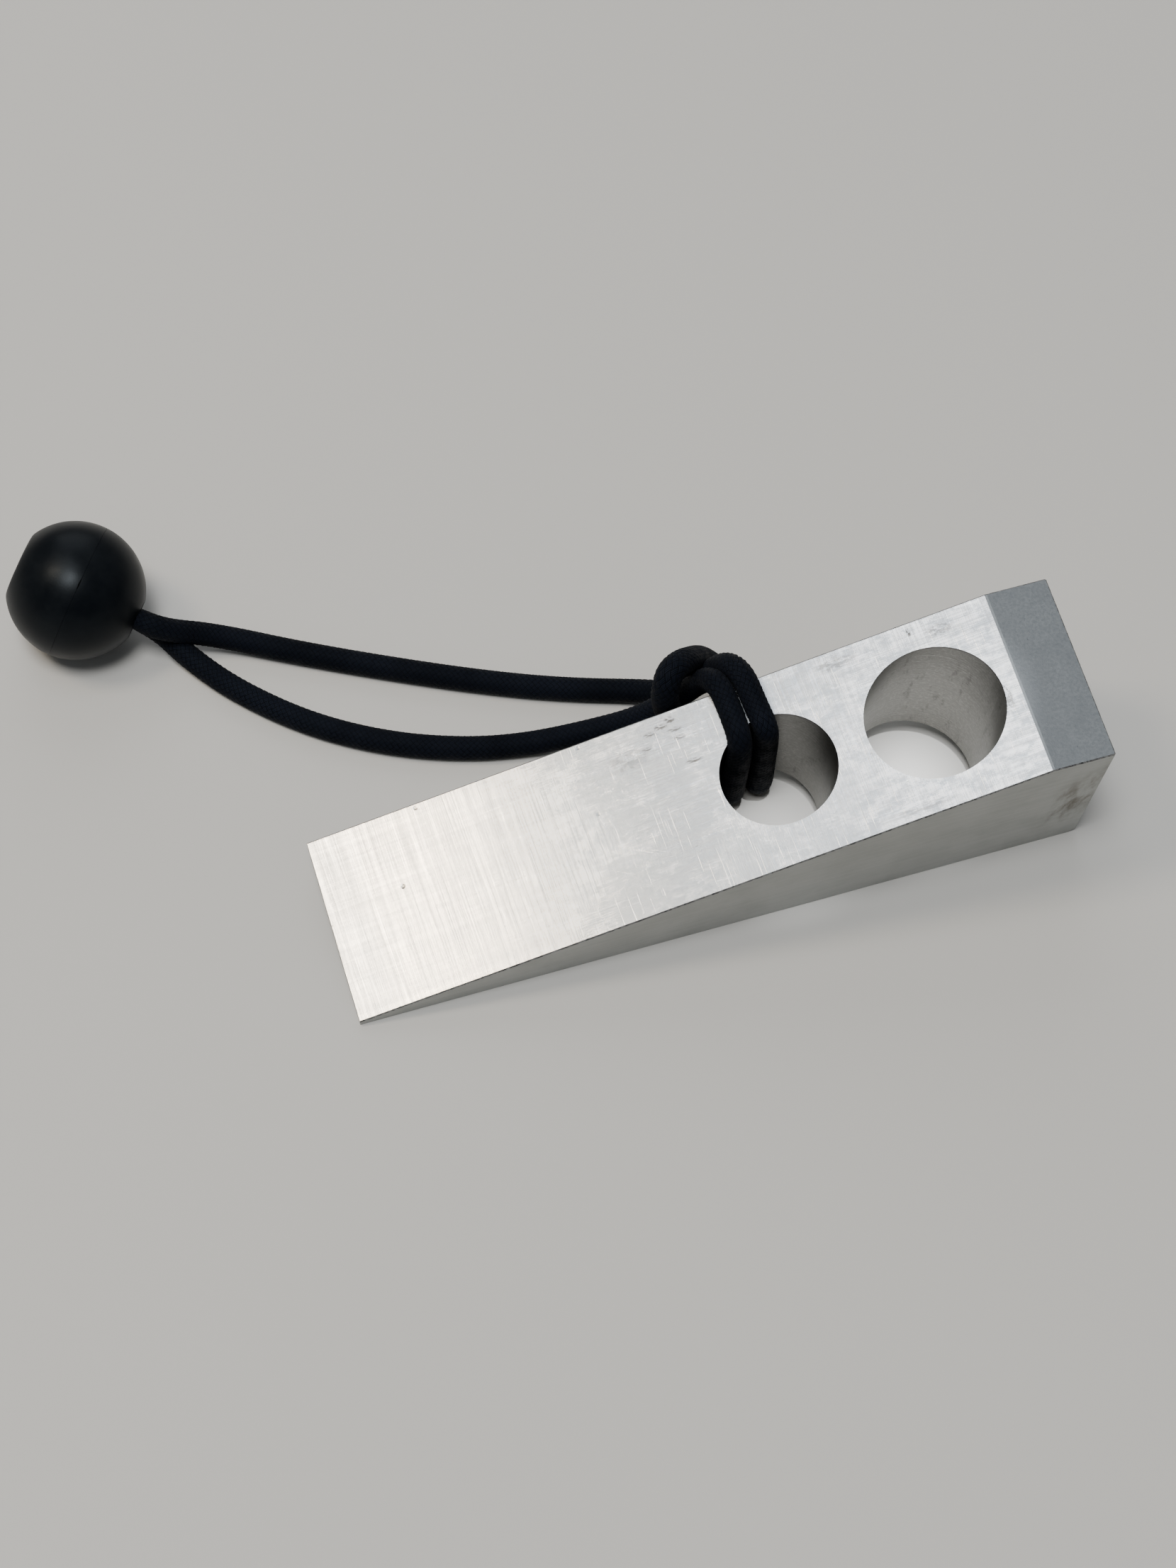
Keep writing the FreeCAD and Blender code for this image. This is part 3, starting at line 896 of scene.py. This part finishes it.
def nurbs_line(points: tuple[Point, ...], name: str) -> np.ndarray:
    """The smooth line of a NURBS spline through a route's control points.

    Args:
        points: the route, in metres.
        name: the spline's name.

    Returns:
        The line's points, close together.
    """
    curve = bpy.data.curves.new(name, "CURVE")
    curve.dimensions = "3D"
    curve.resolution_u = SPLINE_STEPS
    spline = curve.splines.new("NURBS")
    spline.points.add(len(points) - 1)
    for control, place in zip(spline.points, points):
        control.co = (*place, 1.0)
    spline.order_u = 3
    spline.use_endpoint_u = True
    holder = bpy.data.objects.new(name, curve)
    bpy.context.scene.collection.objects.link(holder)
    bpy.context.view_layer.update()
    mesh = bpy.data.meshes.new_from_object(holder)
    line = np.array([vertex.co for vertex in mesh.vertices], float)
    bpy.data.objects.remove(holder)
    bpy.data.meshes.remove(mesh)
    bpy.data.curves.remove(curve)
    return line


def even_rings(line: np.ndarray, step: float) -> np.ndarray:
    """Points at even steps along a line.

    Args:
        line: the line's points.
        step: how far apart the new ones are.

    Returns:
        The new points.
    """
    runs = np.linalg.norm(np.diff(line, axis=0), axis=1)
    keep = np.concatenate([[True], runs > 1e-9])
    line = line[keep]
    so_far = np.concatenate([[0.0], np.cumsum(np.linalg.norm(np.diff(line, axis=0), axis=1))])
    count = max(2, round(so_far[-1] / step) + 1)
    at = np.linspace(0.0, so_far[-1], count)
    return np.stack([np.interp(at, so_far, line[:, axis]) for axis in range(3)], axis=1)


def carried_frames(centres: np.ndarray) -> tuple[np.ndarray, np.ndarray]:
    """Two directions across the line at each ring, carried along it without twist.

    Args:
        centres: the rings' centres.

    Returns:
        The two directions at each ring.
    """
    ahead = np.gradient(centres, axis=0)
    ahead /= np.linalg.norm(ahead, axis=1, keepdims=True)
    side = np.zeros_like(centres)
    start = np.cross(ahead[0], (0.0, 0.0, 1.0))
    side[0] = start / np.linalg.norm(start)
    for ring in range(1, len(centres)):
        carried = side[ring - 1] - ahead[ring] * np.dot(side[ring - 1], ahead[ring])
        side[ring] = carried / np.linalg.norm(carried)
    return side, np.cross(ahead, side)


def braid_height(round_it: np.ndarray, along_it: np.ndarray) -> np.ndarray:
    """Height of the braid, 0 in the gaps to 1 on top of a strand.

    Args:
        round_it: place round the sleeve, in carriers.
        along_it: place along it, in crossings.

    Returns:
        The height at each place.
    """
    right = round_it + along_it
    left = round_it - along_it
    right_over = (np.floor(right) + np.floor(left)) % 2 == 0
    across = np.where(right_over, right % 1.0, left % 1.0) - 0.5
    lengthwise = np.where(right_over, left % 1.0, right % 1.0) - 0.5
    return np.sqrt(np.cos(np.pi * across).clip(0.0)) * (0.45 + 0.55 * np.cos(np.pi * lengthwise))


def squeezed(so_far: np.ndarray, cord: ShockCord) -> np.ndarray:
    """How thick the cord is along its length, as a share: squeezed where both ends share the
    ball's bore, and bulging where it is bent hard in the hitch.

    Args:
        so_far: how far along the cord each ring is, in metres.
        cord: the cord.

    Returns:
        The share at each ring.
    """
    from_end = np.minimum(so_far, so_far[-1] - so_far) / MM
    ease = ((from_end - cord.pinched_for) / cord.pinch_eases_over).clip(0.0, 1.0)
    from_middle = np.abs(so_far - so_far[-1] / 2) / MM
    bent = ((cord.bulges_for + cord.bulge_eases_over - from_middle)
            / cord.bulge_eases_over).clip(0.0, 1.0)
    return cord.pinch + (1.0 - cord.pinch) * ease * ease * (3.0 - 2.0 * ease) + cord.bulge * bent


def braided_tube(name: str, line: np.ndarray, cord: ShockCord, lay: Lay) -> bpy.types.Object:
    """A closed braided sleeve round a line, with its relief in the mesh and a UV map.

    Args:
        name: the piece's name.
        line: the centre line, in metres.
        cord: the cord whose sleeve it is.
        lay: whether it is the lanyard or the knot's turns, which are pulled thinner.

    Returns:
        The sleeve.
    """
    pulled = cord.knot_pull if lay is Lay.KNOT else 1.0
    radius = cord.diameter / 2 * MM * pulled
    centres = even_rings(line, cord.ring_step * MM)
    side, rise = carried_frames(centres)
    around = cord.around
    angle = np.linspace(0.0, 2.0 * math.pi, around, endpoint=False)
    crossing = 2.0 * math.pi * radius / cord.carriers
    count = len(centres)
    so_far = np.arange(count) * np.linalg.norm(centres[1] - centres[0])
    round_it = angle[None, :] / (2.0 * math.pi) * cord.carriers
    along_it = so_far[:, None] / crossing
    high = braid_height(round_it, along_it)
    reach = radius + cord.relief * MM * (high - cord.relief_level)
    if lay is Lay.LANYARD:
        reach = reach * squeezed(so_far, cord)[:, None]
    wall = (centres[:, None, :] + reach[..., None] * (
        np.cos(angle)[None, :, None] * side[:, None, :]
        + np.sin(angle)[None, :, None] * rise[:, None, :]))
    if lay is Lay.LANYARD:
        wall[..., 2] = wall[..., 2].clip(0.0)
    places = [tuple(place) for place in wall.reshape(-1, 3)]
    faces = []
    corners_uv = []
    for ring in range(count - 1):
        for step in range(around):
            after = (step + 1) % around
            low, high_ring = ring * around, (ring + 1) * around
            faces.append((low + step, high_ring + step, high_ring + after, low + after))
            left, right = round_it[0, step], (step + 1) / around * cord.carriers
            near, far = along_it[ring, 0], along_it[ring + 1, 0]
            corners_uv += [(left, near), (left, far), (right, far), (right, near)]
    for ring, inward in ((0, False), (count - 1, True)):
        places.append(tuple(centres[ring]))
        middle = len(places) - 1
        for step in range(around):
            after = (step + 1) % around
            cap = (ring * around + step, ring * around + after, middle)
            faces.append(cap if inward else cap[::-1])
            corners_uv += [(0.5, along_it[ring, 0])] * 3
    mesh = bpy.data.meshes.new(name)
    mesh.from_pydata(places, [], faces)
    layer = mesh.uv_layers.new(name="sleeve")
    layer.data.foreach_set("uv", np.array(corners_uv, np.float32).ravel())
    mesh.polygons.foreach_set("use_smooth", [True] * len(faces))
    mesh.update()
    sleeve = bpy.data.objects.new(name, mesh)
    bpy.context.scene.collection.objects.link(sleeve)
    select_only(sleeve)
    bpy.ops.object.mode_set(mode="EDIT")
    bpy.ops.mesh.select_all(action="SELECT")
    bpy.ops.mesh.normals_make_consistent(inside=False)
    bpy.ops.object.mode_set(mode="OBJECT")
    return sleeve


# ------------------------------------------------------------------ ball and knot
@dataclass
class BoreFrame:
    """The ball's own axes: Z along its bore, out of the mouth where the strands leave."""

    centre: Vector = field(init=False)
    axis: Vector = field(init=False)

    def __post_init__(self) -> None:
        """Read the ball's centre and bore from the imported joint."""
        spin = next(joint for joint in frame["joints"] if joint["name"] == "ball_spin")
        self.centre = Vector(spin["pos_m"])
        self.axis = Vector(spin["axis"]).normalized()

    def matrix(self) -> Matrix:
        """From the ball's own axes to the row frame."""
        turn = Vector((0.0, 0.0, 1.0)).rotation_difference(self.axis)
        return Matrix.Translation(self.centre) @ turn.to_matrix().to_4x4()


@dataclass(frozen=True)
class MouldedRubber:
    """Black moulded rubber, satin, with a faint bloom and a few scuffs."""

    effects: Effects
    black: Colour = (0.0016, 0.0024, 0.0038)
    bloom: Colour = (0.0060, 0.0075, 0.0095)
    slit_shade: Colour = (0.0003, 0.0003, 0.0004)
    slit_at: Point = (-0.1029, 0.0812, 0.0261)
    slit_length: float = 4.4
    slit_width: float = 0.16

    def material(self, ball: "LanyardBall") -> bpy.types.Material:
        """Build the rubber, with the slit where the mould's halves did not close, its colour darkened as painted
        shade.

        Args:
            ball: the ball, on whose parting line the slit lies.

        Returns:
            The material.
        """
        made = bpy.data.materials.new("moulded_rubber")
        made.use_nodes = True
        bench = NodeBench(made.node_tree)
        here = bench.add("TexCoord").outputs["Object"]
        cloud = bench.noise(here, 120.0, 4.0, 0.6)
        grain = bench.noise(here, 2600.0, 2.0, 0.5)
        specks = self.effects.place(bench, self.effects.pits, Vector=here, Scale=700.0, Amount=0.10)
        colour = bench.mix(bench.span(cloud, 0.4, 0.75, 0.0, 0.6), self.black, self.bloom)
        colour = bench.mix(bench.math("MULTIPLY", specks.outputs[0], 0.4), colour, self.bloom)
        slit = self._slit(bench, here, ball)
        # Painted shade: the slit's colour is darkened, besides its rougher, dented surface.
        colour = bench.mix(slit, colour, self.slit_shade)
        rough = bench.blend(slit, bench.span(cloud, 0.3, 0.7, 0.32, 0.42), 0.9)
        relief = bench.math("SUBTRACT", grain, bench.math("MULTIPLY", specks.outputs[0], 0.8))
        relief = bench.math("SUBTRACT", relief, bench.math("MULTIPLY", slit, 12.0))
        bump = bench.add("Bump", Strength=0.25, Distance=0.00003, Height=relief)
        rubber = bench.add("BsdfPrincipled", Base_Color=colour, Roughness=rough, Normal=bump)
        rubber.inputs["Specular IOR Level"].default_value = 0.15
        rubber.inputs["Specular Tint"].default_value = (0.82, 0.92, 1.0, 1.0)
        bench.add("OutputMaterial", Surface=rubber)
        return made

    def _slit(self, bench: NodeBench, here: object, ball: "LanyardBall") -> bpy.types.NodeSocket:
        """A short line along the parting line, thin at both ends, whose colour is darkened as painted shade.

        Args:
            bench: the material's bench.
            here: place in the row frame.
            ball: the ball.

        Returns:
            The line's mask.
        """
        where = ball.bore_frame.matrix()
        from_ball = bench.add("VectorMath", {"operation": "SUBTRACT"}, i0=here)
        from_ball.inputs[1].default_value = where.translation
        along = bench.add("VectorMath", {"operation": "DOT_PRODUCT"}, i0=from_ball)
        along.inputs[1].default_value = where.col[2].xyz
        off_line = bench.math("ABSOLUTE", bench.math("SUBTRACT", along.outputs["Value"],
                                                     ball.seam_from_centre * MM))
        away = bench.add("VectorMath", {"operation": "DISTANCE"}, i0=here)
        away.inputs[1].default_value = self.slit_at
        half = bench.span(away.outputs["Value"], 0.0, self.slit_length / 2 * MM,
                          self.slit_width * MM, 0.0)
        return bench.math("LESS_THAN", off_line, half)


@dataclass
class LanyardBall:
    """Rubber ball with a flat face, a recess for the knot, and a bore for both strands."""

    bore_frame: BoreFrame
    diameter: float = 28.0
    flat_from_centre: float = 12.3
    bore_radius: float = 3.9
    mouth_round: float = 0.3
    rim_round: float = 0.3
    recess_radius: float = 5.9
    recess_floor: float = 3.2
    seam_from_centre: float = 0.6
    seam_half_width: float = 0.05
    seam_depth: float = 0.05
    turned_steps: int = 128
    outline_steps: int = 60

    def profile(self) -> list[tuple[float, float]]:
        """Half section of the ball, from the bore's mouth round to it.

        Returns:
            Radius and height of each point, in millimetres.
        """
        ball = self.diameter / 2
        points: list[tuple[float, float]] = []
        mouth_round, rim_round = self.mouth_round, self.rim_round
        top = math.acos((self.bore_radius + mouth_round) / ball)
        flat = -math.asin(self.flat_from_centre / ball)
        seam = math.asin(self.seam_from_centre / ball)
        half = self.seam_half_width / ball
        steps = self.outline_steps
        angles = [top + (flat - top) * step / steps for step in range(steps + 1)]
        angles = [angle for angle in angles if abs(angle - seam) > 2.5 * half]
        angles += [seam + shift * half for shift in (-2.2, -1.0, -0.4, 0.4, 1.0, 2.2)]
        for angle in sorted(angles, reverse=True):
            deep = self.seam_depth if abs(angle - seam) < 0.5 * half else 0.0
            points.append(((ball - deep) * math.cos(angle), (ball - deep) * math.sin(angle)))
        low = -self.flat_from_centre
        rim = math.sqrt(ball ** 2 - low ** 2)
        points[-1] = (rim - 0.02, low + 0.05)
        points += [(rim - rim_round, low), (self.recess_radius + rim_round, low),
                   (self.recess_radius + 0.09, low + 0.09), (self.recess_radius, low + rim_round),
                   (self.recess_radius, -self.recess_floor - 0.2),
                   (self.recess_radius - 0.2, -self.recess_floor),
                   (self.bore_radius + 0.15, -self.recess_floor),
                   (self.bore_radius, -self.recess_floor + 0.15)]
        height = ball * math.sin(top)
        points += [(self.bore_radius, height - mouth_round * 1.1)]
        points += [(self.bore_radius + mouth_round * (1 - math.cos(turn)),
                    height - mouth_round * 1.1 + mouth_round * math.sin(turn))
                   for turn in (0.4, 0.8, 1.2)]
        return points

    def build(self) -> bpy.types.Object:
        """Spin the half section into the ball.

        Returns:
            The ball, in place.
        """
        deselect_all()
        bpy.ops.mesh.primitive_plane_add(size=0.001)
        ball = bpy.context.object
        ball.name = "rubber_ball"
        outline = self.profile()
        mesh = bpy.data.meshes.new("rubber_ball")
        count = len(outline)
        mesh.from_pydata([(r * MM, 0.0, z * MM) for r, z in outline],
                         [(i, (i + 1) % count) for i in range(count)], [])
        ball.data = mesh
        select_only(ball)
        bpy.ops.object.mode_set(mode="EDIT")
        bpy.ops.mesh.select_all(action="SELECT")
        bpy.ops.mesh.spin(steps=self.turned_steps, angle=2.0 * math.pi, center=(0.0, 0.0, 0.0),
                          axis=(0.0, 0.0, 1.0))
        bpy.ops.object.mode_set(mode="OBJECT")
        close_and_face_out(ball)
        select_only(ball)
        bpy.ops.object.shade_smooth_by_angle(angle=math.radians(32.0))
        place_in_mesh(ball, self.bore_frame.matrix())
        LOG.info("ball: %.1f mm across", self.diameter)
        return ball


@dataclass
class EndKnot:
    """The cord's two ends, knotted together inside the ball's recess."""

    bore_frame: BoreFrame
    cord: ShockCord
    turn_radius: float = 2.95
    turn_points: int = 8
    turn_step: float = 52.0
    starts_behind: float = 5.6
    climbs: float = 0.42

    def build(self) -> bpy.types.Object:
        """Wind the two ends round each other and cut them off at the back.

        Returns:
            The knot, as one piece.
        """
        turns = []
        for half in (0, 1):
            phase = math.pi * half
            route = []
            for step in range(self.turn_points):
                angle = phase + step * math.radians(self.turn_step)
                height = -self.starts_behind - self.climbs * step
                route.append((self.turn_radius * math.cos(angle) * MM,
                              self.turn_radius * math.sin(angle) * MM, height * MM))
            turns.append(braided_tube(f"knot_turn_{half}", nurbs_line(tuple(route), "knot_line"),
                                      self.cord, Lay.KNOT))
        deselect_all()
        for turn in turns:
            turn.select_set(True)
        bpy.context.view_layer.objects.active = turns[0]
        bpy.ops.object.join()
        knot = bpy.context.object
        knot.name = "cord_knot"
        place_in_mesh(knot, self.bore_frame.matrix())
        return knot


# ------------------------------------------------------------------ studio
@dataclass(frozen=True)
class SoftBox:
    """One square soft light, aimed at the object."""

    name: str
    place: Point
    size: float
    power: float
    colour: Colour = (1.0, 1.0, 1.0)


@dataclass(frozen=True)
class Beam:
    """A narrow lamp that shines down one of the bores onto the floor below."""

    name: str
    foot: tuple[float, float]
    reach: float
    power: float
    lean: float = 9.2
    height: float = 1.5


@dataclass
class Studio:
    """Pale floor, soft light, and the camera that looks down over the tip's near side."""

    camera_place: Point = (-0.12529, -0.29317, 0.54526)
    camera_aim: Point = (-0.01868, 0.01407, 0.015)
    camera_roll: float = 1.775
    focal_length: float = 73.656
    sensor: float = 36.0
    floor_colour: Colour = (0.56, 0.56, 0.545)
    floor_shade: Colour = (0.52, 0.52, 0.505)
    lights: tuple[SoftBox, ...] = (
        SoftBox("lamp", (-0.45, -0.49, 2.43), 0.70, 42.0, (1.0, 0.99, 0.97)),
        SoftBox("warm_window", (-0.640, 0.24, 1.12), 0.28, 4.6, (1.0, 0.85, 0.66)),
        SoftBox("ceiling_panel", (-0.18, 0.26, 1.30), 0.42, 1.85, (0.98, 0.99, 1.0)),
        SoftBox("far_panel", (0.25, 1.30, 1.00), 1.10, 5.0, (0.97, 0.985, 1.0)),
    )
    sky: Colour = (0.80, 0.82, 0.84)
    sky_strength: float = 0.22
    beams: tuple[Beam, ...] = (
        Beam("large_bore_beam", (0.0445, 0.0031), 10.0, 235.0),
        Beam("small_bore_beam", (0.0158, -0.0015), 6.0, 110.0),
    )

    def build(self) -> None:
        """Set the camera, the lights and the floor."""
        self._camera()
        for light in self.lights:
            self._light(light)
        for beam in self.beams:
            self._beam(beam)
        self._floor()
        world = bpy.data.worlds.new("studio")
        bpy.context.scene.world = world
        world.use_nodes = True
        background = world.node_tree.nodes["Background"]
        background.inputs["Color"].default_value = (*self.sky, 1.0)
        background.inputs["Strength"].default_value = self.sky_strength

    def _camera(self) -> None:
        """Aim the camera."""
        data = bpy.data.cameras.new("camera")
        data.sensor_width = self.sensor
        data.lens = self.focal_length
        data.clip_start = 0.01
        camera = bpy.data.objects.new("camera", data)
        bpy.context.scene.collection.objects.link(camera)
        look = Vector(self.camera_aim) - Vector(self.camera_place)
        level = look.to_track_quat("-Z", "Y")
        roll = Quaternion((0.0, 0.0, 1.0), math.radians(self.camera_roll))
        camera.rotation_mode = "QUATERNION"
        camera.rotation_quaternion = level @ roll
        camera.location = self.camera_place
        bpy.context.scene.camera = camera

    def _light(self, light: SoftBox) -> None:
        """Hang one soft light, facing the object.

        Args:
            light: the light.
        """
        data = bpy.data.lights.new(light.name, "AREA")
        data.shape = "SQUARE"
        data.size = light.size
        data.energy = light.power
        data.color = light.colour
        lamp = bpy.data.objects.new(light.name, data)
        bpy.context.scene.collection.objects.link(lamp)
        lamp.location = light.place
        lamp.rotation_euler = (-Vector(light.place)).to_track_quat("-Z", "Y").to_euler()

    def _beam(self, beam: Beam) -> None:
        """Hang one narrow lamp over a bore, on its axis.

        Args:
            beam: the lamp; its reach is the lit circle's radius, in millimetres.
        """
        data = bpy.data.lights.new(beam.name, "SPOT")
        data.spot_size = 2.0 * math.atan(beam.reach * MM / beam.height)
        data.spot_blend = 0.6
        data.shadow_soft_size = 0.01
        data.energy = beam.power
        lamp = bpy.data.objects.new(beam.name, data)
        bpy.context.scene.collection.objects.link(lamp)
        away = Vector((0.0, -math.sin(math.radians(beam.lean)), math.cos(math.radians(beam.lean))))
        lamp.location = Vector((*beam.foot, 0.0)) + away * beam.height
        lamp.rotation_euler = (-away).to_track_quat("-Z", "Y").to_euler()

    def _floor(self) -> None:
        """Lay the pale floor."""
        deselect_all()
        bpy.ops.mesh.primitive_plane_add(size=6.0)
        floor = bpy.context.object
        floor.name = "floor"
        made = bpy.data.materials.new("floor")
        made.use_nodes = True
        bench = NodeBench(made.node_tree)
        here = bench.add("TexCoord").outputs["Object"]
        cloud = bench.noise(here, 6.0, 3.0, 0.5)
        colour = bench.mix(bench.span(cloud, 0.3, 0.7, 0.0, 0.10), self.floor_colour,
                           self.floor_shade)
        paint = bench.add("BsdfPrincipled", Base_Color=colour)
        paint.inputs["Roughness"].default_value = 0.55
        paint.inputs["Specular IOR Level"].default_value = 0.25
        bench.add("OutputMaterial", Surface=paint)
        floor.data.materials.append(made)


def main() -> None:
    """Build every piece and say which body it rides on."""
    logging.basicConfig(level=logging.INFO, format="%(name)s: %(message)s")
    Studio().build()
    effects = Effects()

    cord = ShockCord()
    sleeve, line = cord.build()
    sleeve_material = BraidedSleeve(effects).material()
    sleeve.data.materials.append(sleeve_material)

    bore_frame = BoreFrame()
    lanyard_ball = LanyardBall(bore_frame)
    ball = lanyard_ball.build()
    ball.data.materials.append(MouldedRubber(effects).material(lanyard_ball))
    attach(ball, "ball")
    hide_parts("ball")

    knot = EndKnot(bore_frame, cord).build()
    knot.data.materials.clear()
    knot.data.materials.append(sleeve_material)
    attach(knot, "wedge")
    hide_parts("end_knot")

    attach(sleeve, "wedge")
    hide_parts("cord")

    WedgeBlock().dress(MachinedAluminium(effects))


if __name__ == "__main__":
    main()
